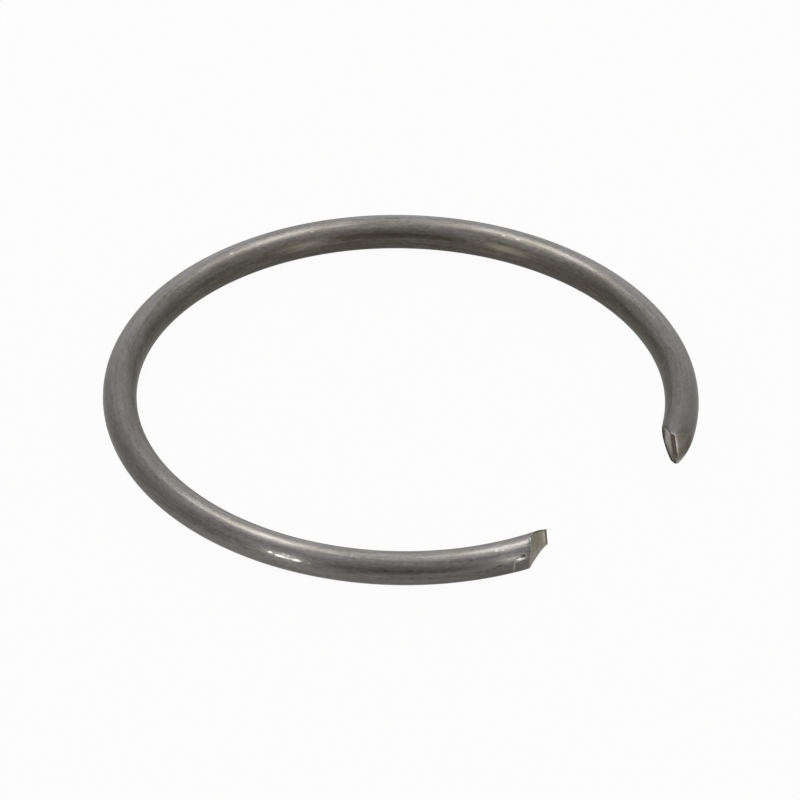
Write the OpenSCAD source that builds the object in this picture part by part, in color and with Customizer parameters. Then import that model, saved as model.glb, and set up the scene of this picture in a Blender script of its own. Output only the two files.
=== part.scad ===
// Snap ring of round spring wire: one open turn of wire, cropped off a coil.
// It lies flat, with its gap towards +X and the ring's centre at the origin.
// The crop left two unlike ends: a thin lip on one, a pinched wedge on the other.

/* [Wire] */
// Diameter of the drawn wire
wire_d = 2.5; // [2:0.05:3.2]

/* [Ring] */
// Inside diameter of the free ring, before it is sprung over a shaft
inner_d = 39; // [30:0.5:60]
// Free gap from the lip's tip to the wedge's ridge, as an angle at the ring's centre
gap_angle = 40.4; // [20:0.1:90]

/* [Lip end] */
// Length of the lip along the wire, from the shoulder to the tip
lip_len = 2.15; // [1:0.05:3]
// Thickness of the lip at its tip
lip_tip_t = 0.2; // [0.1:0.01:0.5]
// Radius of the hollow face that the cropping blade left on the lip
scoop_r = 3.85; // [2.5:0.05:8]
// Angle between the wire and the hollow face at the tip
scoop_exit_angle = 9; // [0:0.5:20]
// Angle of the shoulder off a square cut
shoulder_angle = 26; // [0:0.5:40]
// Lean of the blade across the wire, its top towards the ring's centre
blade_lean_across = 9; // [0:0.5:15]
// Lean of the blade along the wire, its top towards the gap
blade_lean_along = 7; // [0:0.5:15]

/* [Wedge end] */
// Distance of the wedge's ridge outside the wire's centre line
ridge_offset = 0.45; // [0:0.01:0.7]
// Angle between the wire and the wedge's outer face
outer_face_angle = 28; // [20:0.5:60]
// Lean of the outer face, which looks up a little
outer_face_lean = 15; // [0:0.5:20]
// Angle between the wire and the wedge's inner face
inner_face_angle = 34.5; // [20:0.5:60]
// Width of the torn land between the inner face and the ridge
land_w = 0.41; // [0.1:0.01:0.6]
// Angle of the torn land off a square cut
land_angle = 12.5; // [0:0.5:30]
// Lean of the torn land, which looks up a little
land_lean = 7.5; // [0:0.5:15]
// Width of the chip broken off under the inner face, where it meets the land
chip_w = 0.1; // [0.02:0.01:0.3]
// Angle of the chip off a square cut
chip_angle = 37; // [10:0.5:50]
// Lean of the chip, which looks down
chip_lean = 24; // [10:0.5:40]

/* [Hidden] */
$fn = 180;
wire_r = wire_d / 2;
coil_r = inner_d / 2 + wire_r;
tip_angle = gap_angle / 2;
lip_span = lip_len / coil_r * 180 / PI;
// Uncut wire left past the wedge's ridge, for the leaning faces to cut into
overrun = wire_d / coil_r * 180 / PI;
// The cutting solids reach past the wire on every side, but not across the gap
reach = 2.5 * wire_d;
// Inner edge of the torn land at the wire's mid height, outwards and towards the gap
land_edge_out = ridge_offset - land_w;
land_edge_gap = -land_w * tan(land_angle);

// Puts its children on the wire's centre line: +X outwards, +Y anticlockwise, +Z up
module on_wire(angle) {
    rotate([0, 0, angle]) translate([coil_r, 0, 0]) children();
}

// The turn of round wire, from past the wedge's ridge round to the lip's tip
module wire_turn() {
    rotate([0, 0, tip_angle - overrun])
        rotate_extrude(angle = 360 - gap_angle + overrun)
            translate([coil_r, 0]) circle(d = wire_d);
}

// Everything beyond a flat cut through the local origin, on its +Y side.
// angle turns the cut off square towards the ring's outside, lean makes it look up.
module beyond_cut(angle, lean) {
    rotate([0, 0, -angle]) rotate([lean, 0, 0])
        translate([-reach / 2, 0, -reach / 2]) cube(reach);
}

// Leans its children as the cropping blade leaned
module blade_lean() {
    rotate([-blade_lean_along, -blade_lean_across, 0]) children();
}

// Removed at the lip end: the blade's round nose, from the shoulder to the tip
module lip_cut() {
    intersection() {
        on_wire(-tip_angle - lip_span) blade_lean() beyond_cut(shoulder_angle, 0);
        on_wire(-tip_angle)
            translate([lip_tip_t - wire_r, 0, 0]) rotate([0, 0, scoop_exit_angle])
                translate([scoop_r, 0, 0]) blade_lean()
                    cylinder(r = scoop_r, h = reach, center = true);
    }
}

// Removed at the wedge end: the two pinched faces, the torn land and the chip.
// Mirrored, so that +Y points towards the gap as it does at the other end.
module wedge_cut() {
    on_wire(tip_angle) mirror([0, 1, 0]) {
        translate([ridge_offset, 0, 0]) {
            beyond_cut(90 - outer_face_angle, outer_face_lean);
            beyond_cut(-land_angle, land_lean);
        }
        translate([land_edge_out, land_edge_gap, 0])
            beyond_cut(inner_face_angle - 90, 0);
        translate([land_edge_out - chip_w, land_edge_gap - chip_w / tan(inner_face_angle), -wire_r])
            beyond_cut(-chip_angle, -chip_lean);
    }
}

module snap_ring() {
    color("#77746f") difference() {
        wire_turn();
        lip_cut();
        wedge_cut();
    }
}

snap_ring();
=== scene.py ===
import math

import bpy
from mathutils import Matrix, Vector


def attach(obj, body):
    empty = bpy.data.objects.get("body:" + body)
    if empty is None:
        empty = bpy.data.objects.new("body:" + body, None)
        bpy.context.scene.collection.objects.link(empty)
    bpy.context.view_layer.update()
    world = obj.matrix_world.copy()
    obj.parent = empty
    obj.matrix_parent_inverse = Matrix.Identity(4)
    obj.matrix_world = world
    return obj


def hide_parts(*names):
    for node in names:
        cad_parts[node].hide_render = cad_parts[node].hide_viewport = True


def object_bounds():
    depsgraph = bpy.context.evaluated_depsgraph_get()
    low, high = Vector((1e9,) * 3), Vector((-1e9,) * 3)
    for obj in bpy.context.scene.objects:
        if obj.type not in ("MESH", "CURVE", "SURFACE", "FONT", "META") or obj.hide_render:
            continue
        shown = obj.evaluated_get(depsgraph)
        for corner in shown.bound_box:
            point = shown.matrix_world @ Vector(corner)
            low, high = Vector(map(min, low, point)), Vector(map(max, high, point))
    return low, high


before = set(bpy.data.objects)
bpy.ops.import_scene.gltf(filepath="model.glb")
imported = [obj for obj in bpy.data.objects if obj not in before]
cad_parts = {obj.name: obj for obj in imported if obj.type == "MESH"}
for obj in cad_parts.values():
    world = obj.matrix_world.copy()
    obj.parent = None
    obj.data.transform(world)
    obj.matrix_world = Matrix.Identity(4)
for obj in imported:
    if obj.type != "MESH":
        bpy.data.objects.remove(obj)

cad_low, cad_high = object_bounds()


# The drawn wire's skin
# Round spring-steel wire, patented and drawn through dies, then coiled: dull
# grey metal under a thin brown drawing film, with fine die lines that run along the wire. Some of its
# bright spots are painted glints and highlight specks.

MATH = "ShaderNodeMath"
VECTOR = "ShaderNodeVectorMath"
NOISE = "ShaderNodeTexNoise"
RANGE = "ShaderNodeMapRange"
MIX = "ShaderNodeMix"  # input 0 is the share, 2 and 3 are its numbers, 6 and 7 its colours
ATTRIBUTE = "ShaderNodeAttribute"


def linear(hex_colour):
    """A colour written as sRGB hex, as the linear values that Blender's sockets take."""
    parts = [int(hex_colour[i:i + 2], 16) / 255 for i in (1, 3, 5)]
    return [p / 12.92 if p <= 0.04045 else ((p + 0.055) / 1.055) ** 2.4 for p in parts] + [1.0]


def add(tree, kind, feeds=(), out=0, **settings):
    """Adds a node to a tree and returns one of its outputs.

    settings are the node's own properties. feeds go to its inputs, by number or by name, and each
    is a value or another node's output.
    """
    node = tree.nodes.new(kind)
    for name, value in settings.items():
        setattr(node, name, value)
    for key, value in feeds.items() if isinstance(feeds, dict) else enumerate(feeds):
        if isinstance(value, bpy.types.NodeSocket):
            tree.links.new(value, node.inputs[key])
        else:
            node.inputs[key].default_value = value
    return node.outputs[out] if node.outputs else node


STEEL = linear("#7a7776")
FILM = linear("#615c54")
FLECK = linear("#93918f")
PIT = linear("#3d3a35")
RUBBED_AND_GLINT = linear("#cecdca")
# Millimetres, the first two from the frame
WIRE_R = (cad_high.z - cad_low.z) * 1000 / 2
COIL_R = -cad_low.x * 1000 - WIRE_R
# Nicks, dents, low bulges, rubbed spots, painted glints and painted highlight specks on the wire, and
# last two wide darker zones. Each has its place in mm along the wire from the ring's +X and in
# degrees round it from the outside over the top, its half length, half width and depth in mm (below
# zero for a bulge), and its shade, where 1 is rubbed bright, and on the glints and specks a painted
# highlight, -1 is dark and 0 is no mark in the colour.
MARKS_AND_PAINTED_GLINTS = (
    # the dent's dark pit
    (119.88, 30.0, 0.10, 0.07, 0.06, -1.0),
    # its bright streak, rubbed metal with a painted highlight on it, and a paler mark beside it
    (119.66, 20.5, 0.34, 0.09, -0.02, 1.0),
    (119.35, 16.0, 0.24, 0.09, 0.0, 0.35),
    # a low bulge by the lip, and a painted lighter band between the highlight and the dent
    (119.20, 44.0, 1.30, 0.55, -0.04, 0.0),
    (118.90, 40.0, 1.20, 0.24, 0.0, 0.18),
    # a pale scratch and light marks by the lip
    (119.13, -6.0, 0.06, 0.50, 0.01, 0.45),
    (120.22, 47.0, 0.05, 0.16, 0.0, 0.2),
    (120.16, 22.0, 0.05, 0.10, 0.0, 0.2),
    # raised burrs, the first on the rim with a painted highlight on it
    (120.86, 80.0, 0.06, 0.17, -0.015, 1.0),
    (120.45, -9.0, 0.10, 0.08, -0.03, 0.5),
    # painted highlight specks in the main highlight near the lip
    (118.04, 66.8, 0.12, 0.08, 0.0, 0.35),
    (118.50, 63.8, 0.12, 0.07, 0.0, 0.25),
    (118.86, 80.0, 0.08, 0.05, 0.0, 0.2),
    # dark spots on the lower side near the lip
    (118.04, 12.3, 0.16, 0.06, 0.02, -0.7),
    (117.68, 6.7, 0.14, 0.06, 0.02, -0.7),
    (116.60, 3.0, 0.30, 0.05, 0.0, -0.5),
    # painted glints of the front left lamp, as bright spots, with two dark crescents below them
    (101.70, 25.5, 0.16, 0.07, 0.0, 0.8),
    (102.45, 21.5, 0.34, 0.07, 0.0, 0.9),
    (102.95, 21.0, 0.30, 0.06, 0.0, 0.4),
    (103.70, 21.0, 0.32, 0.09, 0.0, 0.95),
    (104.60, 21.0, 0.10, 0.06, 0.0, 0.4),
    (102.70, 31.0, 0.12, 0.06, 0.0, 0.4),
    (103.05, 30.0, 0.12, 0.05, 0.0, 0.4),
    (102.45, 15.0, 0.16, 0.05, 0.0, -0.6),
    (103.85, 13.0, 0.16, 0.05, 0.0, -0.6),
    # a faint scratch and a nick
    (107.54, 71.0, 0.05, 0.16, 0.0, 0.15),
    (43.35, 210.5, 0.12, 0.10, 0.05, -0.9),
    # painted highlight specks in the highlights on the ring's back
    (59.65, 102.4, 0.16, 0.07, 0.0, 0.3),
    (52.86, 114.3, 0.14, 0.06, 0.0, 0.25),
    (37.92, 110.7, 0.16, 0.06, 0.0, 0.25),
    (36.74, 111.1, 0.20, 0.06, 0.0, 0.25),
    (32.49, 98.5, 0.14, 0.06, 0.0, 0.2),
    # two wide darker zones
    (12.00, 95.0, 9.00, 1.60, 0.0, -0.25),
    (80.00, 95.0, 10.00, 1.60, 0.0, -0.2),
)


def mark_middle(along, degrees):
    """Where a mark lies on the wire: mm along it, out from its centre line, and up."""
    turn = math.radians(degrees)
    return along, WIRE_R * math.cos(turn), WIRE_R * math.sin(turn)


# Dull grey metal: soft highlights broken up by the die lines, with paler flecks and dark pits
drawn_steel = bpy.data.materials.new("drawn_spring_steel")
drawn_steel.use_nodes = True
skin = drawn_steel.node_tree
skin.nodes.clear()
lay = add(skin, ATTRIBUTE, out="Vector", attribute_name="wire_lay")
# Die lines about 0.2 mm apart and 7 mm long, in the wire's own millimetres
line_place = add(skin, VECTOR, (lay, (0.14, 4.5, 4.5)), operation="MULTIPLY")
lines = add(skin, NOISE, {"Vector": line_place, "Scale": 1.0, "Detail": 2.0, "Roughness": 0.6})
# The grain of the metal, drawn at 0.15 mm so that it shows
grain_place = add(skin, VECTOR, (lay, (2.6, 7.0, 7.0)), operation="MULTIPLY")
grain = add(skin, NOISE, {"Vector": grain_place, "Scale": 1.0, "Detail": 4.0, "Roughness": 0.7})
grain_vector = grain.node.outputs["Color"]
# Brown drawing film, in patches some millimetres long and thicker on the inside of the coil
cloud_place = add(skin, VECTOR, (lay, (0.35, 1.6, 1.6)), operation="MULTIPLY")
clouds = add(skin, NOISE, {"Vector": cloud_place, "Scale": 1.0, "Detail": 4.0, "Roughness": 0.65})
inside = add(skin, "ShaderNodeSeparateXYZ", (lay,), out=1)
inside = add(skin, RANGE, (inside, 0.1 * WIRE_R, -0.9 * WIRE_R, 0.0, 0.38))
film_share = add(skin, MATH, (clouds, inside), operation="ADD")
film_share = add(skin, RANGE, (film_share, 0.40, 0.95, 0.0, 1.0))
colour = add(skin, MIX, {0: film_share, 6: STEEL, 7: FILM}, out=2, data_type="RGBA")
# Pale flecks where lines and grain are both light, and dark pits where both are dark
texture = add(skin, MATH, (grain, 1.1), operation="MULTIPLY")
texture = add(skin, MATH, (lines, 0.8, texture), operation="MULTIPLY_ADD")
fleck_share = add(skin, RANGE, (texture, 1.02, 1.30, 0.0, 0.5))
colour = add(skin, MIX, {0: fleck_share, 6: colour, 7: FLECK}, out=2, data_type="RGBA")
pit_share = add(skin, RANGE, (texture, 0.94, 0.66, 0.0, 0.5))
colour = add(skin, MIX, {0: pit_share, 6: colour, 7: PIT}, out=2, data_type="RGBA")
# The marks, painted glints and highlight specks among them, whose edges the grain makes ragged
ragged = add(skin, VECTOR, (grain_vector, (0.5, 0.5, 0.5)), operation="SUBTRACT")
ragged = add(skin, VECTOR, (ragged, (0.30, 0.12, 0.12), lay), operation="MULTIPLY_ADD")
rubbed_and_glints, dark_and_painted_shade = 0.0, 0.0
for along, degrees, half_length, half_width, _, shade in MARKS_AND_PAINTED_GLINTS:
    if shade == 0.0:
        continue
    away = add(skin, VECTOR, (ragged, mark_middle(along, degrees)), operation="SUBTRACT")
    away = add(skin, VECTOR, (away, (half_length, half_width, half_width)), operation="DIVIDE")
    away = add(skin, VECTOR, (away,), out="Value", operation="LENGTH")
    near = add(skin, RANGE, (away, 1.4, 0.6, 0.0, abs(shade)))
    if shade > 0:
        rubbed_and_glints = add(skin, MATH, (rubbed_and_glints, near), operation="MAXIMUM")
    else:
        dark_and_painted_shade = add(skin, MATH, (dark_and_painted_shade, near), operation="MAXIMUM")
# The shoulder's edge at the lip is rubbed bright in places
edge = add(skin, ATTRIBUTE, out="Fac", attribute_name="to_lip")
edge = add(skin, RANGE, (edge, 0.12, 0.03, 0.0, 1.0))
worn_bright = add(skin, RANGE, (grain, 0.42, 0.62, 0.0, 0.5))
edge = add(skin, MATH, (edge, worn_bright), operation="MULTIPLY")
rubbed_and_glints = add(skin, MATH, (rubbed_and_glints, edge), operation="MAXIMUM")
colour = add(skin, MIX, {0: rubbed_and_glints, 6: colour, 7: RUBBED_AND_GLINT}, out=2, data_type="RGBA")
colour = add(skin, MIX, {0: dark_and_painted_shade, 6: colour, 7: PIT}, out=2, data_type="RGBA")
roughness = add(skin, RANGE, (grain, 0.3, 0.7, 0.28, 0.36))
roughness = add(skin, MATH, (film_share, 0.06, roughness), operation="MULTIPLY_ADD")
relief = add(skin, "ShaderNodeBump", {"Strength": 0.35, "Distance": 0.00003, "Height": lines},
             out="Normal")
# The die lines spread a highlight across the wire more than along it
along_wire = add(skin, "ShaderNodeTexCoord", out="Object")
along_wire = add(skin, VECTOR, ((0.0, 0.0, 1.0), along_wire), operation="CROSS_PRODUCT")
along_wire = add(skin, "ShaderNodeVectorTransform", (along_wire,), vector_type="VECTOR",
                 convert_from="OBJECT", convert_to="WORLD")
shader = add(skin, "ShaderNodeBsdfPrincipled",
             {"Base Color": colour, "Metallic": 1.0, "Roughness": roughness, "Normal": relief,
              "Anisotropic": 0.6, "Anisotropic Rotation": 0.25, "Tangent": along_wire})
add(skin, "ShaderNodeOutputMaterial", {"Surface": shader})


# The cropped faces
# Bare steel where the blades sheared and pinched the wire off: brighter than the
# skin and streaked by the blades, and dark and fibrous on the strips where the last metal tore, with
# painted shade along rims and lower parts, and painted light and highlights on paler parts and
# ridges.

SHEARED = linear("#968d7e")
STREAK = linear("#6f6c64")
# Fresh steel, also the painted light on the faces' paler parts
FRESH_AND_PAINTED_LIGHT = linear("#bdbab7")
TORN = linear("#645a57")
# Painted shade on the cropped faces' rims and lower parts
PAINTED_SHADE = linear("#2e2c29")
# A painted highlight on the ridges beside the torn strips
RIDGE_HIGHLIGHT = linear("#e0dad2")
WHITE = linear("#ffffff")

# Bare sheared metal: satin, streaked by the blade, with painted highlights on ridges beside dark torn
# strips. The geometry says how far each point is from the tear, how torn it is, and how much painted
# ridge highlight, fresh steel with painted light, and painted shade it takes.
cropped_steel = bpy.data.materials.new("cropped_spring_steel")
cropped_steel.use_nodes = True
cut = cropped_steel.node_tree
cut.nodes.clear()
place = add(cut, "ShaderNodeTexCoord", out="Object")
tear_edge, torn, ridge, fresh_and_painted_light, dark_and_painted_shade = (
    add(cut, ATTRIBUTE, out="Fac", attribute_name=name)
    for name in ("tear_edge", "torn", "ridge", "fresh_and_painted_light", "dark_and_painted_shade"))
# Blade streaks, 0.2 mm wide and running up the face
streak_place = add(cut, VECTOR, (place, (5500.0, 5500.0, 1100.0)), operation="MULTIPLY")
streaks = add(cut, NOISE, {"Vector": streak_place, "Scale": 1.0, "Detail": 4.0, "Roughness": 0.65})
patches = add(cut, NOISE, {"Vector": place, "Scale": 1600.0, "Detail": 3.0})
streak_share = add(cut, RANGE, (streaks, 0.56, 0.40, 0.0, 0.7))
colour = add(cut, MIX, {0: streak_share, 6: SHEARED, 7: STREAK}, out=2, data_type="RGBA")
# Fresh steel near the tear, and painted light higher on the inner face and low on the outer face
fresh_and_light_share = add(cut, RANGE, (patches, 0.35, 0.6, 0.3, 1.0))
fresh_and_light_share = add(cut, MATH, (fresh_and_light_share, fresh_and_painted_light), operation="MULTIPLY")
colour = add(cut, MIX, {0: fresh_and_light_share, 6: colour, 7: FRESH_AND_PAINTED_LIGHT}, out=2, data_type="RGBA")
colour = add(cut, MIX, {0: dark_and_painted_shade, 6: colour, 7: PAINTED_SHADE}, out=2, data_type="RGBA")
# The torn strip, up to its edge, and the painted highlight on the ridge just before it
inside_tear = add(cut, RANGE, (tear_edge, -0.02, 0.02, 0.0, 1.0))
torn_share = add(cut, MATH, (inside_tear, torn), operation="MULTIPLY")
colour = add(cut, MIX, {0: torn_share, 6: colour, 7: TORN}, out=2, data_type="RGBA")
before_tear = add(cut, RANGE, (tear_edge, -0.24, -0.10, 0.0, 1.0))
before_tear = add(cut, MATH, (before_tear, inside_tear), operation="SUBTRACT")
ridge_share = add(cut, RANGE, (patches, 0.40, 0.56, 0.3, 1.0))
ridge_share = add(cut, MATH, (ridge_share, ridge), operation="MULTIPLY")
ridge_share = add(cut, MATH, (ridge_share, before_tear), operation="MULTIPLY", use_clamp=True)
colour = add(cut, MIX, {0: ridge_share, 6: colour, 7: RIDGE_HIGHLIGHT}, out=2, data_type="RGBA")
roughness = add(cut, RANGE, (streaks, 0.3, 0.7, 0.30, 0.45))
relief = add(cut, "ShaderNodeBump", {"Strength": 0.8, "Distance": 0.00004, "Height": streaks},
             out="Normal")
# The painted shade also dims the metal's shine where a face is seen at a low angle
painted_shade_tint = add(cut, MIX, {0: dark_and_painted_shade, 6: WHITE, 7: PAINTED_SHADE}, out=2, data_type="RGBA")
shader = add(cut, "ShaderNodeBsdfPrincipled",
             {"Base Color": colour, "Metallic": 1.0, "Roughness": roughness, "Normal": relief,
              "Specular Tint": painted_shade_tint})
add(cut, "ShaderNodeOutputMaterial", {"Surface": shader})


# The ring
# One turn of the wire, cropped off the coil: at one end the blade's round nose left a
# shoulder and a thin lip, at the other the wire was pinched to a wedge and its last metal tore.

# Sizes in millimetres and degrees
GAP_ANGLE = 40.4
LIP_LEN = 2.15
LIP_TIP_T = 0.2
SCOOP_R = 3.85
SCOOP_EXIT = math.radians(9)
BLADE_AXIS = Vector((-0.1725, 0.0961, 0.9803))  # the blade's nose, leaning to the centre and gap
# Flat cuts: angle off square towards the ring's outside, lean looking up, and a point on the cut,
# outwards from the wire's centre line, towards the gap from the ridge or the shoulder, and up
SHOULDER = (26.8, -2.3, 0.0, 0.0, 0.0)
OUTER_FACE = (62.0, 15.0, 0.45, 0.0, 0.0)
TORN_LAND = (-12.5, 7.5, 0.45, 0.0, 0.0)
INNER_FACE = (-55.5, 0.0, 0.04, -0.091, 0.0)
CHIP = (-37.0, -24.0, -0.06, -0.236, -1.25)
EDGE_STRIP = 0.22  # the strip that tore along the lip's tip
# Steps of the mesh round the wire, along it, and from a cropped face's middle out to its rim
ROUND_STEPS, LONG_STEPS, CUT_STEPS = 192, 420, 44
END_SHARE = 0.2  # how evenly the steps lie along the wire, rather than closer at its ends
MERGE_DISTANCE = 0.0002  # closes the seam along the wire and the rims of the cropped faces
SHARP_BEND = math.radians(38)  # edges that bend more stay crisp

# Where a fibre of the wire meets a flat cut, as an angle at the ring's centre
flat_cut = bpy.data.node_groups.new("flat_cut", "GeometryNodeTree")
for name in ("Across", "Up", "Coil radius", "Off square", "Lean", "Out", "Towards gap", "Height"):
    flat_cut.interface.new_socket(name, in_out="INPUT", socket_type="NodeSocketFloat")
flat_cut.interface.new_socket("Turn", in_out="OUTPUT", socket_type="NodeSocketFloat")
given = flat_cut.nodes.new("NodeGroupInput").outputs
across, up, coil_radius, off_square, lean, point_out, point_gap, point_up = given[:8]
radius = add(flat_cut, MATH, (coil_radius, across), operation="ADD")
through = add(flat_cut, MATH, (coil_radius, point_out), operation="ADD")
sine = add(flat_cut, MATH, (off_square,), operation="SINE")
cosine = add(flat_cut, MATH, (off_square,), operation="COSINE")
slope = add(flat_cut, MATH, (lean,), operation="TANGENT")
reach = add(flat_cut, MATH, (sine, through), operation="MULTIPLY")
reach = add(flat_cut, MATH, (cosine, point_gap, reach), operation="MULTIPLY_ADD")
fall = add(flat_cut, MATH, (point_up, up), operation="SUBTRACT")
reach = add(flat_cut, MATH, (slope, fall, reach), operation="MULTIPLY_ADD")
turn = add(flat_cut, MATH, (reach, radius), operation="DIVIDE")
turn = add(flat_cut, MATH, (turn,), operation="ARCSINE")
turn = add(flat_cut, MATH, (turn, off_square), operation="SUBTRACT")
add(flat_cut, "NodeGroupOutput", {"Turn": turn})

# The same for the blade's round nose. Each pass mends the fibre's curve with the turn of the last.
hollow_cut = bpy.data.node_groups.new("hollow_cut", "GeometryNodeTree")
for name in ("Across", "Up", "Coil radius", "Nose radius", "Last turn"):
    hollow_cut.interface.new_socket(name, in_out="INPUT", socket_type="NodeSocketFloat")
for name in ("Nose centre", "Nose axis"):
    hollow_cut.interface.new_socket(name, in_out="INPUT", socket_type="NodeSocketVector")
hollow_cut.interface.new_socket("Turn", in_out="OUTPUT", socket_type="NodeSocketFloat")
given = hollow_cut.nodes.new("NodeGroupInput").outputs
across, up, coil_radius, nose_radius, last_turn, nose_centre, nose_axis = given[:7]
radius = add(hollow_cut, MATH, (coil_radius, across), operation="ADD")
cosine = add(hollow_cut, MATH, (last_turn,), operation="COSINE")
level = add(hollow_cut, MATH, (radius, cosine), operation="MULTIPLY")
level = add(hollow_cut, MATH, (level, coil_radius), operation="SUBTRACT")
start = add(hollow_cut, "ShaderNodeCombineXYZ", (level, 0.0, up))
start = add(hollow_cut, VECTOR, (start, nose_centre), operation="SUBTRACT")
start_y = add(hollow_cut, "ShaderNodeSeparateXYZ", (start,), out=1)
axis_y = add(hollow_cut, "ShaderNodeSeparateXYZ", (nose_axis,), out=1)
start_axis = add(hollow_cut, VECTOR, (start, nose_axis), out="Value", operation="DOT_PRODUCT")
start_square = add(hollow_cut, VECTOR, (start, start), out="Value", operation="DOT_PRODUCT")
a = add(hollow_cut, MATH, (axis_y, axis_y), operation="MULTIPLY")
a = add(hollow_cut, MATH, (1.0, a), operation="SUBTRACT")
b = add(hollow_cut, MATH, (start_axis, axis_y), operation="MULTIPLY")
b = add(hollow_cut, MATH, (start_y, b), operation="SUBTRACT")
c = add(hollow_cut, MATH, (start_axis, start_axis), operation="MULTIPLY")
c = add(hollow_cut, MATH, (start_square, c), operation="SUBTRACT")
nose_square = add(hollow_cut, MATH, (nose_radius, nose_radius), operation="MULTIPLY")
c = add(hollow_cut, MATH, (c, nose_square), operation="SUBTRACT")
root = add(hollow_cut, MATH, (a, c), operation="MULTIPLY")
b_square = add(hollow_cut, MATH, (b, b), operation="MULTIPLY")
root = add(hollow_cut, MATH, (b_square, root), operation="SUBTRACT")
root = add(hollow_cut, MATH, (root, 0.0), operation="MAXIMUM")
root = add(hollow_cut, MATH, (root,), operation="SQRT")
meet = add(hollow_cut, MATH, (b, root), operation="ADD")
meet = add(hollow_cut, MATH, (meet, a), operation="DIVIDE")
turn = add(hollow_cut, MATH, (meet, radius), operation="DIVIDE")
turn = add(hollow_cut, MATH, (turn, -1.0), operation="MULTIPLY")
turn = add(hollow_cut, MATH, (turn,), operation="ARCSINE")
add(hollow_cut, "NodeGroupOutput", {"Turn": turn})

# The whole ring. Its inputs: lengths in millimetres, turns in radians, and the seed of the relief.
SIZES = {
    "Coil radius": COIL_R, "Wire radius": WIRE_R, "Tip turn": math.radians(GAP_ANGLE / 2),
    "Lip turn": LIP_LEN / COIL_R, "Nose radius": SCOOP_R, "Line depth": 0.004, "Wave depth": 0.012,
    "Roll depth": 0.04, "Streak depth": 0.012, "Tear depth": 0.03,
    "Seed": 3.0,
}
wire = bpy.data.node_groups.new("cropped_wire_ring", "GeometryNodeTree")
for name in SIZES:
    wire.interface.new_socket(name, in_out="INPUT", socket_type="NodeSocketFloat")
wire.interface.new_socket("Ring", in_out="OUTPUT", socket_type="NodeSocketGeometry")
given = wire.nodes.new("NodeGroupInput").outputs
size = {name: given[name] for name in SIZES}

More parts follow.
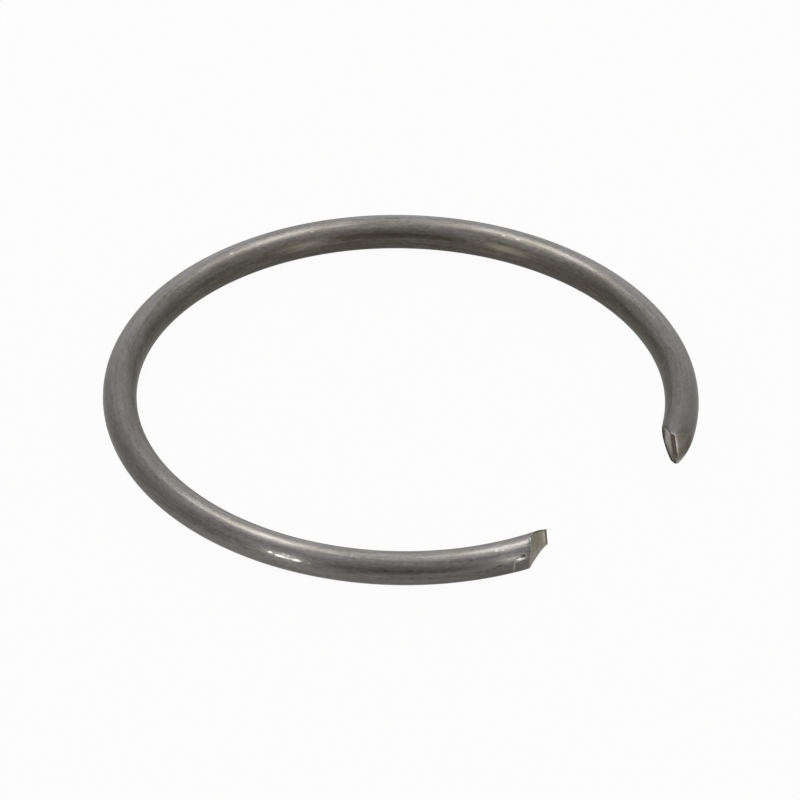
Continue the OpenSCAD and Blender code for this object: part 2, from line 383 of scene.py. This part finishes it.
joined = wire.nodes.new("GeometryNodeJoinGeometry")
for sheet in ("skin", "lip", "wedge"):
    # A grid whose X goes along the wire or out from its middle, and whose Y goes round it
    steps = LONG_STEPS if sheet == "skin" else CUT_STEPS
    grid = add(wire, "GeometryNodeMeshGrid", (1.0, 1.0, steps + 1, ROUND_STEPS + 1))
    spot = add(wire, "GeometryNodeInputPosition")
    spot = add(wire, VECTOR, (spot, (0.5, 0.5, 0.0)), operation="ADD")
    split = add(wire, "ShaderNodeSeparateXYZ", (spot,)).node
    share, round_share = split.outputs[0], split.outputs[1]
    round_turn = add(wire, MATH, (round_share, 2 * math.pi), operation="MULTIPLY")
    cosine = add(wire, MATH, (round_turn,), operation="COSINE")
    sine = add(wire, MATH, (round_turn,), operation="SINE")
    reach = size["Wire radius"]
    if sheet != "skin":
        reach = add(wire, MATH, (reach, share), operation="MULTIPLY")
    across = add(wire, MATH, (reach, cosine), operation="MULTIPLY")
    up = add(wire, MATH, (reach, sine), operation="MULTIPLY")
    # Where this fibre ends at the wedge: the first cut that it meets
    meets = {}
    for name, flat in (("outer", OUTER_FACE), ("land", TORN_LAND), ("inner", INNER_FACE),
                       ("chip", CHIP), ("shoulder", SHOULDER)):
        meets[name] = add(
            wire, "GeometryNodeGroup", out=0, node_tree=flat_cut,
            feeds={"Across": across, "Up": up, "Coil radius": size["Coil radius"],
                   "Off square": math.radians(flat[0]), "Lean": math.radians(flat[1]),
                   "Out": flat[2], "Towards gap": flat[3], "Height": flat[4]})
    pinched = add(wire, MATH, (meets["outer"], meets["inner"]), operation="MINIMUM")
    pinched = add(wire, MATH, (pinched, meets["chip"]), operation="MINIMUM")
    wedge_turn = add(wire, MATH, (pinched, meets["land"]), operation="MINIMUM")
    # Where it ends at the lip: the shoulder, or beyond it the hollow, but not past the tip
    hollow = 0.0
    for _ in range(3):
        hollow = add(
            wire, "GeometryNodeGroup", out=0, node_tree=hollow_cut,
            feeds={"Across": across, "Up": up, "Coil radius": size["Coil radius"],
                   "Nose radius": size["Nose radius"], "Last turn": hollow,
                   "Nose centre": (LIP_TIP_T - WIRE_R + SCOOP_R * math.cos(SCOOP_EXIT),
                                   SCOOP_R * math.sin(SCOOP_EXIT), 0.0),
                   "Nose axis": BLADE_AXIS})
    shoulder = add(wire, MATH, (meets["shoulder"], size["Lip turn"]), operation="SUBTRACT")
    nosed = add(wire, MATH, (shoulder, hollow), operation="MAXIMUM")
    lip_turn = add(wire, MATH, (nosed, 0.0), operation="MINIMUM")
    # From the wedge round to the lip, with the steps closer together near both ends
    first = add(wire, MATH, (size["Tip turn"], wedge_turn), operation="SUBTRACT")
    last = add(wire, MATH, (2 * math.pi, size["Tip turn"]), operation="SUBTRACT")
    last = add(wire, MATH, (last, lip_turn), operation="ADD")
    if sheet == "skin":
        eased = add(wire, RANGE, (share, 0.0, 1.0, 0.0, 1.0),
                    interpolation_type="SMOOTHERSTEP")
        eased = add(wire, MATH, (eased, 1 - END_SHARE), operation="MULTIPLY")
        eased = add(wire, MATH, (share, END_SHARE, eased), operation="MULTIPLY_ADD")
        span = add(wire, MATH, (last, first), operation="SUBTRACT")
        around = add(wire, MATH, (span, eased, first), operation="MULTIPLY_ADD")
    else:
        around = last if sheet == "lip" else first
    radius = add(wire, MATH, (size["Coil radius"], across), operation="ADD")
    east = add(wire, MATH, (around,), operation="COSINE")
    east = add(wire, MATH, (east, radius), operation="MULTIPLY")
    north = add(wire, MATH, (around,), operation="SINE")
    north = add(wire, MATH, (north, radius), operation="MULTIPLY")
    laid = add(wire, "ShaderNodeCombineXYZ", (east, north, up))
    # What the relief and the materials need to know about each point
    to_lip = add(wire, MATH, (last, around), operation="SUBTRACT")
    to_lip = add(wire, MATH, (to_lip, size["Coil radius"]), operation="MULTIPLY")
    to_wedge = add(wire, MATH, (around, first), operation="SUBTRACT")
    to_wedge = add(wire, MATH, (to_wedge, size["Coil radius"]), operation="MULTIPLY")
    lip_share = add(wire, MATH, (lip_turn, size["Lip turn"]), operation="DIVIDE")
    sheared = add(wire, RANGE, (lip_share, -0.6, -0.75, 0.0, 1.0))
    tear_edge, torn, ridge, fresh_and_painted_light, dark_and_painted_shade = -1.0, 0.0, 0.0, 0.0, 0.0
    if sheet == "lip":
        # The strip that tore along the tip, pale steel before it and lower down, and painted shade on
        # the upper rim
        from_tip = add(wire, MATH, (nosed, size["Coil radius"]), operation="MULTIPLY")
        tear_edge = add(wire, MATH, (from_tip, EDGE_STRIP), operation="ADD")
        # the ridge before the strip takes a painted highlight
        torn, ridge = 0.7, 0.4
        fresh_and_painted_light = add(wire, RANGE, (from_tip, -0.9, -0.35, 0.0, 0.5))
        low = add(wire, RANGE, (up, -0.3, -1.0, 0.0, 0.7))
        fresh_and_painted_light = add(wire, MATH, (fresh_and_painted_light, low), operation="MAXIMUM")
        rim = add(wire, RANGE, (share, 0.88, 0.96, 0.0, 0.5))
        dark_and_painted_shade = add(wire, RANGE, (up, 0.2, 0.5, 0.0, 1.0))
        dark_and_painted_shade = add(wire, MATH, (dark_and_painted_shade, rim), operation="MULTIPLY")
    elif sheet == "wedge":
        # The torn land, which narrows and fades out below, with a painted highlight on its ridge, on
        # the outer side only
        tear_edge = add(wire, MATH, (pinched, meets["land"]), operation="SUBTRACT")
        tear_edge = add(wire, MATH, (tear_edge, size["Coil radius"]), operation="MULTIPLY")
        torn = add(wire, RANGE, (up, -0.85, -0.35, 0.0, 1.0))
        inward = add(wire, MATH, (meets["outer"], meets["inner"]), operation="SUBTRACT")
        inward = add(wire, RANGE, (inward, 0.0, 0.002, 0.0, 1.0))
        leaning = add(wire, RANGE, (up, -1.0, 0.9, -0.22, 0.1))
        leaning = add(wire, MATH, (leaning, inward), operation="MULTIPLY")
        tear_edge = add(wire, MATH, (tear_edge, leaning), operation="ADD")
        # the ridge's painted highlight grows brighter higher up
        high = add(wire, RANGE, (up, -0.6, 0.6, 0.1, 1.1))
        ridge = add(wire, MATH, (1.0, inward), operation="SUBTRACT")
        ridge = add(wire, MATH, (ridge, high), operation="MULTIPLY")
        # Painted shade and light: the outer face is darker towards the ring's outside and paler at
        # the bottom, the inner face pale in its middle and darker below, beside the land, on its
        # inner side and along its rim.
        fresh_and_light_in = add(wire, RANGE, (up, -0.6, 0.4, 0.3, 1.0))
        fresh_and_light_out = add(wire, RANGE, (up, -0.5, -0.9, 0.55, 1.0))
        fresh_and_painted_light = add(wire, MIX, {0: inward, 2: fresh_and_light_out, 3: fresh_and_light_in})
        painted_shade_out = add(wire, RANGE, (across, 0.45, 0.8, 0.22, 0.5))
        above_tip = add(wire, RANGE, (up, -0.95, -0.6, 0.0, 1.0))
        painted_shade_out = add(wire, MATH, (painted_shade_out, above_tip), operation="MULTIPLY")
        painted_shade_in = add(wire, RANGE, (up, 0.0, -1.0, 0.0, 0.4))
        beside_land = add(wire, RANGE, (tear_edge, -0.28, -0.06, 0.0, 0.35))
        painted_shade_in = add(wire, MATH, (painted_shade_in, beside_land), operation="MAXIMUM")
        from_darkest = add(wire, MATH, (up, 0.2), operation="ADD")
        from_darkest = add(wire, MATH, (from_darkest, from_darkest), operation="MULTIPLY")
        inner_side = add(wire, MATH, (from_darkest, -0.3, 0.7), operation="MULTIPLY_ADD")
        far_inside = add(wire, RANGE, (across, -0.68, -0.88, 0.0, 1.0))
        inner_side = add(wire, MATH, (inner_side, far_inside), operation="MULTIPLY")
        painted_shade_in = add(wire, MATH, (painted_shade_in, inner_side), operation="MAXIMUM")
        lower_rim = add(wire, RANGE, (share, 0.58, 0.80, 0.0, 1.0))
        lower = add(wire, RANGE, (up, 0.1, -0.4, 0.0, 0.75))
        lower_rim = add(wire, MATH, (lower_rim, lower), operation="MULTIPLY")
        painted_shade_in = add(wire, MATH, (painted_shade_in, lower_rim), operation="MAXIMUM")
        upper_rim = add(wire, RANGE, (share, 0.82, 0.94, 0.0, 0.65))
        upper = add(wire, RANGE, (up, 0.1, 0.6, 0.0, 1.0))
        upper_rim = add(wire, MATH, (upper_rim, upper), operation="MULTIPLY")
        painted_shade_in = add(wire, MATH, (painted_shade_in, upper_rim), operation="MAXIMUM")
        dark_and_painted_shade = add(wire, MIX, {0: inward, 2: painted_shade_out, 3: painted_shade_in})
    lay = add(wire, MATH, (around, size["Coil radius"]), operation="MULTIPLY")
    lay = add(wire, "ShaderNodeCombineXYZ", (lay, across, up))
    mesh = grid
    for name, value, data_type, domain in (
            ("wire_lay", lay, "FLOAT_VECTOR", "CORNER"), ("to_lip", to_lip, "FLOAT", "CORNER"),
            ("to_wedge", to_wedge, "FLOAT", "POINT"), ("sheared", sheared, "FLOAT", "POINT"),
            ("tear_edge", tear_edge, "FLOAT", "CORNER"), ("torn", torn, "FLOAT", "CORNER"),
            ("ridge", ridge, "FLOAT", "CORNER"), ("fresh_and_painted_light", fresh_and_painted_light, "FLOAT", "CORNER"),
            ("dark_and_painted_shade", dark_and_painted_shade, "FLOAT", "CORNER"),
            ("share_out", 1.0 if sheet == "skin" else share, "FLOAT", "POINT"),
            ("cropped", sheet != "skin", "BOOLEAN", "FACE")):
        mesh = add(wire, "GeometryNodeStoreNamedAttribute",
                   {"Geometry": mesh, "Name": name, "Value": value},
                   data_type=data_type, domain=domain)
    mesh = add(wire, "GeometryNodeSetPosition", {"Geometry": mesh, "Position": laid})
    # Every face looks out of the metal
    if sheet == "lip":
        mesh = add(wire, "GeometryNodeFlipFaces", {"Mesh": mesh})
    wire.links.new(mesh, joined.inputs[0])
closed = add(wire, "GeometryNodeMergeByDistance",
             {"Geometry": joined.outputs[0], "Distance": MERGE_DISTANCE})

# The relief: die lines, a slight wave, edges rolled by the blades, streaks and the tear
known = {}
for name, data_type in (("wire_lay", "FLOAT_VECTOR"), ("to_lip", "FLOAT"), ("to_wedge", "FLOAT"),
                        ("sheared", "FLOAT"), ("tear_edge", "FLOAT"), ("torn", "FLOAT"),
                        ("share_out", "FLOAT")):
    known[name] = add(wire, "GeometryNodeInputNamedAttribute", {"Name": name}, data_type=data_type)
seed_shift = add(wire, "ShaderNodeCombineXYZ", (size["Seed"], size["Seed"], size["Seed"]))
seeded = add(wire, VECTOR, (known["wire_lay"], seed_shift), operation="ADD")
rise = 0.0
for depth, scales in (("Line depth", (0.15, 7.0, 7.0)), ("Wave depth", (0.09, 0.35, 0.35))):
    place = add(wire, VECTOR, (seeded, scales), operation="MULTIPLY")
    noise = add(wire, NOISE, {"Vector": place, "Scale": 1.0, "Detail": 2.0})
    noise = add(wire, MATH, (noise, 0.5), operation="SUBTRACT")
    rise = add(wire, MATH, (noise, size[depth], rise), operation="MULTIPLY_ADD")
# Each end's skin rolls in towards its cropped face, over a width in mm
for distance, width, strength in (("to_lip", 0.10, -1.0), ("to_wedge", 0.30, -1.3)):
    fade = add(wire, MATH, (known[distance], -1 / width), operation="MULTIPLY")
    fade = add(wire, MATH, (fade,), operation="EXPONENT")
    fade = add(wire, MATH, (fade, strength), operation="MULTIPLY")
    if distance == "to_lip":
        fade = add(wire, MATH, (fade, known["sheared"]), operation="MULTIPLY")
    rise = add(wire, MATH, (fade, size["Roll depth"], rise), operation="MULTIPLY_ADD")
for along, degrees, half_length, half_width, depth, _ in MARKS_AND_PAINTED_GLINTS:
    if depth == 0.0:
        continue
    away = add(wire, VECTOR, (known["wire_lay"], mark_middle(along, degrees)), operation="SUBTRACT")
    away = add(wire, VECTOR, (away, (half_length, half_width, half_width)), operation="DIVIDE")
    away = add(wire, VECTOR, (away, away), out="Value", operation="DOT_PRODUCT")
    away = add(wire, MATH, (away, -1.0), operation="MULTIPLY")
    near = add(wire, MATH, (away,), operation="EXPONENT")
    rise = add(wire, MATH, (near, -depth, rise), operation="MULTIPLY_ADD")
near_skin = add(wire, MATH, (known["share_out"], 6.0), operation="POWER")
rise = add(wire, MATH, (rise, near_skin), operation="MULTIPLY")
# The way out from the wire's centre line
spot = add(wire, "GeometryNodeInputPosition")
flat_spot = add(wire, VECTOR, (spot, (1.0, 1.0, 0.0)), operation="MULTIPLY")
flat_spot = add(wire, VECTOR, (flat_spot,), operation="NORMALIZE")
centre_spot = add(wire, VECTOR, {0: flat_spot, "Scale": size["Coil radius"]}, operation="SCALE")
outwards = add(wire, VECTOR, (spot, centre_spot), operation="SUBTRACT")
outwards = add(wire, VECTOR, (outwards,), operation="NORMALIZE")
skin_shift = add(wire, VECTOR, {0: outwards, "Scale": rise}, operation="SCALE")
# Cropped faces: streaks run up the blade's way, and the torn strips are rough
place = add(wire, VECTOR, (spot, (6.0, 6.0, 0.7)), operation="MULTIPLY")
streak = add(wire, NOISE, {"Vector": place, "Scale": 1.0, "Detail": 2.0})
streak = add(wire, MATH, (streak, 0.5), operation="SUBTRACT")
streak = add(wire, MATH, (streak, size["Streak depth"]), operation="MULTIPLY")
place = add(wire, VECTOR, (spot, (11.0, 11.0, 4.0)), operation="MULTIPLY")
tear = add(wire, NOISE, {"Vector": place, "Scale": 1.0, "Detail": 3.0})
tear = add(wire, MATH, (tear, 0.5), operation="SUBTRACT")
tear = add(wire, MATH, (tear, size["Tear depth"]), operation="MULTIPLY")
in_tear = add(wire, RANGE, (known["tear_edge"], -0.05, 0.05, 0.0, 1.0))
in_tear = add(wire, MATH, (in_tear, known["torn"]), operation="MULTIPLY")
cut_depth = add(wire, MATH, (tear, in_tear, streak), operation="MULTIPLY_ADD")
inside = add(wire, MATH, (known["share_out"], 12.0), operation="POWER")
inside = add(wire, MATH, (1.0, inside), operation="SUBTRACT")
cut_depth = add(wire, MATH, (cut_depth, inside), operation="MULTIPLY")
facing = add(wire, "GeometryNodeInputNormal")
cut_shift = add(wire, VECTOR, {0: facing, "Scale": cut_depth}, operation="SCALE")
shift = add(wire, VECTOR, (skin_shift, cut_shift), operation="SUBTRACT")
worn = add(wire, "GeometryNodeSetPosition", {"Geometry": closed, "Offset": shift})
smooth = add(wire, "GeometryNodeSetShadeSmooth", {"Geometry": worn})
bend = add(wire, "GeometryNodeInputMeshEdgeAngle")
sharp = add(wire, MATH, (bend, SHARP_BEND), operation="GREATER_THAN")
sharpened = add(wire, "GeometryNodeStoreNamedAttribute",
                {"Geometry": smooth, "Name": "sharp_edge", "Value": sharp},
                data_type="BOOLEAN", domain="EDGE")
metres = add(wire, "GeometryNodeTransform", {"Geometry": sharpened, "Scale": (0.001, 0.001, 0.001)})
whole = add(wire, "GeometryNodeRealizeInstances", {"Geometry": metres})
dressed = add(wire, "GeometryNodeSetMaterial", {"Geometry": whole, "Material": drawn_steel})
cropped = add(wire, "GeometryNodeInputNamedAttribute", {"Name": "cropped"}, data_type="BOOLEAN")
dressed = add(wire, "GeometryNodeSetMaterial",
              {"Geometry": dressed, "Selection": cropped, "Material": cropped_steel})
add(wire, "NodeGroupOutput", {"Ring": dressed})

ring = bpy.data.objects.new("wire_ring", bpy.data.meshes.new("wire_ring"))
bpy.context.scene.collection.objects.link(ring)
maker = ring.modifiers.new("cropped_wire_ring", "NODES")
maker.node_group = wire
for item in wire.interface.items_tree:
    if item.in_out == "INPUT":
        maker[item.identifier] = SIZES[item.name]
depsgraph = bpy.context.evaluated_depsgraph_get()
made = bpy.data.meshes.new_from_object(
    ring.evaluated_get(depsgraph), preserve_all_data_layers=True, depsgraph=depsgraph)
ring.modifiers.remove(maker)
ring.data = made
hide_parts("snap_ring")
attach(ring, "root")


# The studio
# A pale floor, four soft lamps, the room's light and a long lens.

AZIMUTH = math.radians(36.2)
ELEVATION = math.radians(36.77)
ROLL = math.radians(0.947)
DISTANCE = 1.710
SENSOR_WIDTH = 36.0
LENS = 1042.3
# The ring's place in the photograph, off the middle of the picture in pixels
PICTURE_WIDTH = 800
SHIFT_RIGHT, SHIFT_UP = -0.82, -1.73
turn_to_view = Matrix.Rotation(AZIMUTH, 3, "Z")

FLOOR = linear("#b0ada8")
FLOOR_HALF = 3.0
# How white the paper is to the camera, how white the metal mirrors it, and how white at the lightest
# spot of a painted pool of light, whose place from the ring (right, away, up) and radius are in
# metres
PAPER_SEEN = 0.96
PAPER_REFLECTED, PAPER_LIGHTEST = 0.38, 0.80
LIGHTEST_SPOT, SPOT_RADIUS = (-0.0105, -0.0224, 0.0), 0.017
floor_mesh = bpy.data.meshes.new("studio_floor")
floor_mesh.from_pydata([(x * FLOOR_HALF, y * FLOOR_HALF, cad_low.z)
                        for x, y in ((-1, -1), (1, -1), (1, 1), (-1, 1))], [], [(0, 1, 2, 3)])
floor = bpy.data.objects.new("studio_floor", floor_mesh)
bpy.context.scene.collection.objects.link(floor)
paper = bpy.data.materials.new("matt_studio_paper")
paper.use_nodes = True
sheet = paper.node_tree
sheet.nodes.clear()
matt = add(sheet, "ShaderNodeBsdfDiffuse", {"Color": FLOOR})
white = add(sheet, "ShaderNodeEmission", {"Color": (1.0, 1.0, 1.0, 1.0), "Strength": 1.0})
ray = sheet.nodes.new("ShaderNodeLightPath")
seen = add(sheet, MATH, (ray.outputs["Is Glossy Ray"], ray.outputs["Is Transmission Ray"]),
           operation="MAXIMUM")
# A painted pool of light on the paper, on the side of the front left lamp, that only the metal
# mirrors
place = add(sheet, "ShaderNodeTexCoord", out="Object")
from_spot = add(sheet, VECTOR, (place, turn_to_view @ Vector(LIGHTEST_SPOT)), out="Value",
                operation="DISTANCE")
painted_light_pool = add(sheet, RANGE, (from_spot, SPOT_RADIUS, 0.0, PAPER_REFLECTED, PAPER_LIGHTEST))
seen = add(sheet, MATH, (seen, painted_light_pool), operation="MULTIPLY")
seen = add(sheet, MATH, (ray.outputs["Is Camera Ray"], PAPER_SEEN, seen), operation="MULTIPLY_ADD")
both = add(sheet, "ShaderNodeMixShader", (seen, matt, white))
add(sheet, "ShaderNodeOutputMaterial", {"Surface": both})
floor_mesh.materials.append(paper)

# Lamps: where each stands from the ring (right, away, up, in metres), the way its long side runs,
# its width and length in metres, and its power in watts
LAMP_LIGHT = linear("#fffff8")
LAMPS = {
    "overhead_left": ((-0.200, 0.420, 0.885), (0.0, 1.0, 0.0), 0.18, 0.38, 2.0),
    "overhead_right": ((0.190, 0.410, 0.890), (0.0, 1.0, 0.0), 0.20, 0.38, 1.7),
    "front_left": ((-0.640, -0.740, 0.150), (0.0, 0.0, 1.0), 0.14, 0.40, 1.2),
    "front_right": ((0.640, -0.740, 0.150), (0.0, 0.0, 1.0), 0.14, 0.40, 0.8),
}
for name, (stands, runs, width, length, power) in LAMPS.items():
    lamp = bpy.data.lights.new(name, "AREA")
    lamp.shape = "RECTANGLE"
    lamp.size, lamp.size_y, lamp.energy = width, length, power
    lamp.color = LAMP_LIGHT[:3]
    holder = bpy.data.objects.new(name, lamp)
    bpy.context.scene.collection.objects.link(holder)
    place = turn_to_view @ Vector(stands)
    back = place.normalized()
    side = (turn_to_view @ Vector(runs)).cross(back).normalized()
    holder.matrix_world = Matrix.Translation(place) @ Matrix(
        (side, back.cross(side), back)).transposed().to_4x4()

# The room: a light ceiling, a light wall behind the ring, dimmer walls beside it and soft light from
# the front left and right, but dark and brownish where the camera stands. Each light has its way from
# the ring (right, away, up), its sharpness and its strength.
ROOM_LIGHTS = (
    ((0.0, 0.0, 1.0), 1.8, 0.92),
    ((0.0, 1.0, 0.0), 3.0, 1.4),
    ((-1.0, 0.0, 0.0), 2.0, 0.42),
    ((1.0, 0.0, 0.0), 2.0, 0.48),
    ((-0.60, -0.62, 0.50), 10.0, 0.28),
    ((0.58, -0.60, 0.55), 10.0, 0.18),
)
ROOM_DARKEST = 0.08
DARK_SIDE = linear("#ffecd2")
LIGHT_SIDE = linear("#fbfcff")
room = bpy.data.worlds.new("studio_room")
bpy.context.scene.world = room
room.use_nodes = True
air = room.node_tree
air.nodes.clear()
way = add(air, "ShaderNodeTexCoord", out="Generated")
bright = ROOM_DARKEST
for towards, sharpness, strength in ROOM_LIGHTS:
    lobe = add(air, VECTOR, (way, turn_to_view @ Vector(towards)), out="Value",
               operation="DOT_PRODUCT")
    lobe = add(air, MATH, (lobe, 0.0), operation="MAXIMUM")
    lobe = add(air, MATH, (lobe, sharpness), operation="POWER")
    bright = add(air, MATH, (lobe, strength, bright), operation="MULTIPLY_ADD")
light_share = add(air, RANGE, (bright, 0.1, 0.6, 0.0, 1.0))
tint = add(air, MIX, {0: light_share, 6: DARK_SIDE, 7: LIGHT_SIDE}, out=2, data_type="RGBA")
glow = add(air, "ShaderNodeBackground", {"Color": tint, "Strength": bright})
add(air, "ShaderNodeOutputWorld", {"Surface": glow})

# The camera, at the photograph's viewing angle: a long lens, far away
camera_data = bpy.data.cameras.new("long_lens")
camera_data.sensor_width = SENSOR_WIDTH
camera_data.lens = LENS
camera_data.clip_end = 100.0
camera_data.shift_x = SHIFT_RIGHT / PICTURE_WIDTH
camera_data.shift_y = SHIFT_UP / PICTURE_WIDTH
camera = bpy.data.objects.new("long_lens", camera_data)
bpy.context.scene.collection.objects.link(camera)
bpy.context.scene.camera = camera
back = turn_to_view @ Vector((0.0, -math.cos(ELEVATION), math.sin(ELEVATION)))
right = turn_to_view @ Vector((1.0, 0.0, 0.0))
right = Matrix.Rotation(ROLL, 3, back) @ right
camera.matrix_world = Matrix.Translation(back * DISTANCE) @ Matrix(
    (right, back.cross(right), back)).transposed().to_4x4()

bpy.context.scene.view_settings.view_transform = "Standard"
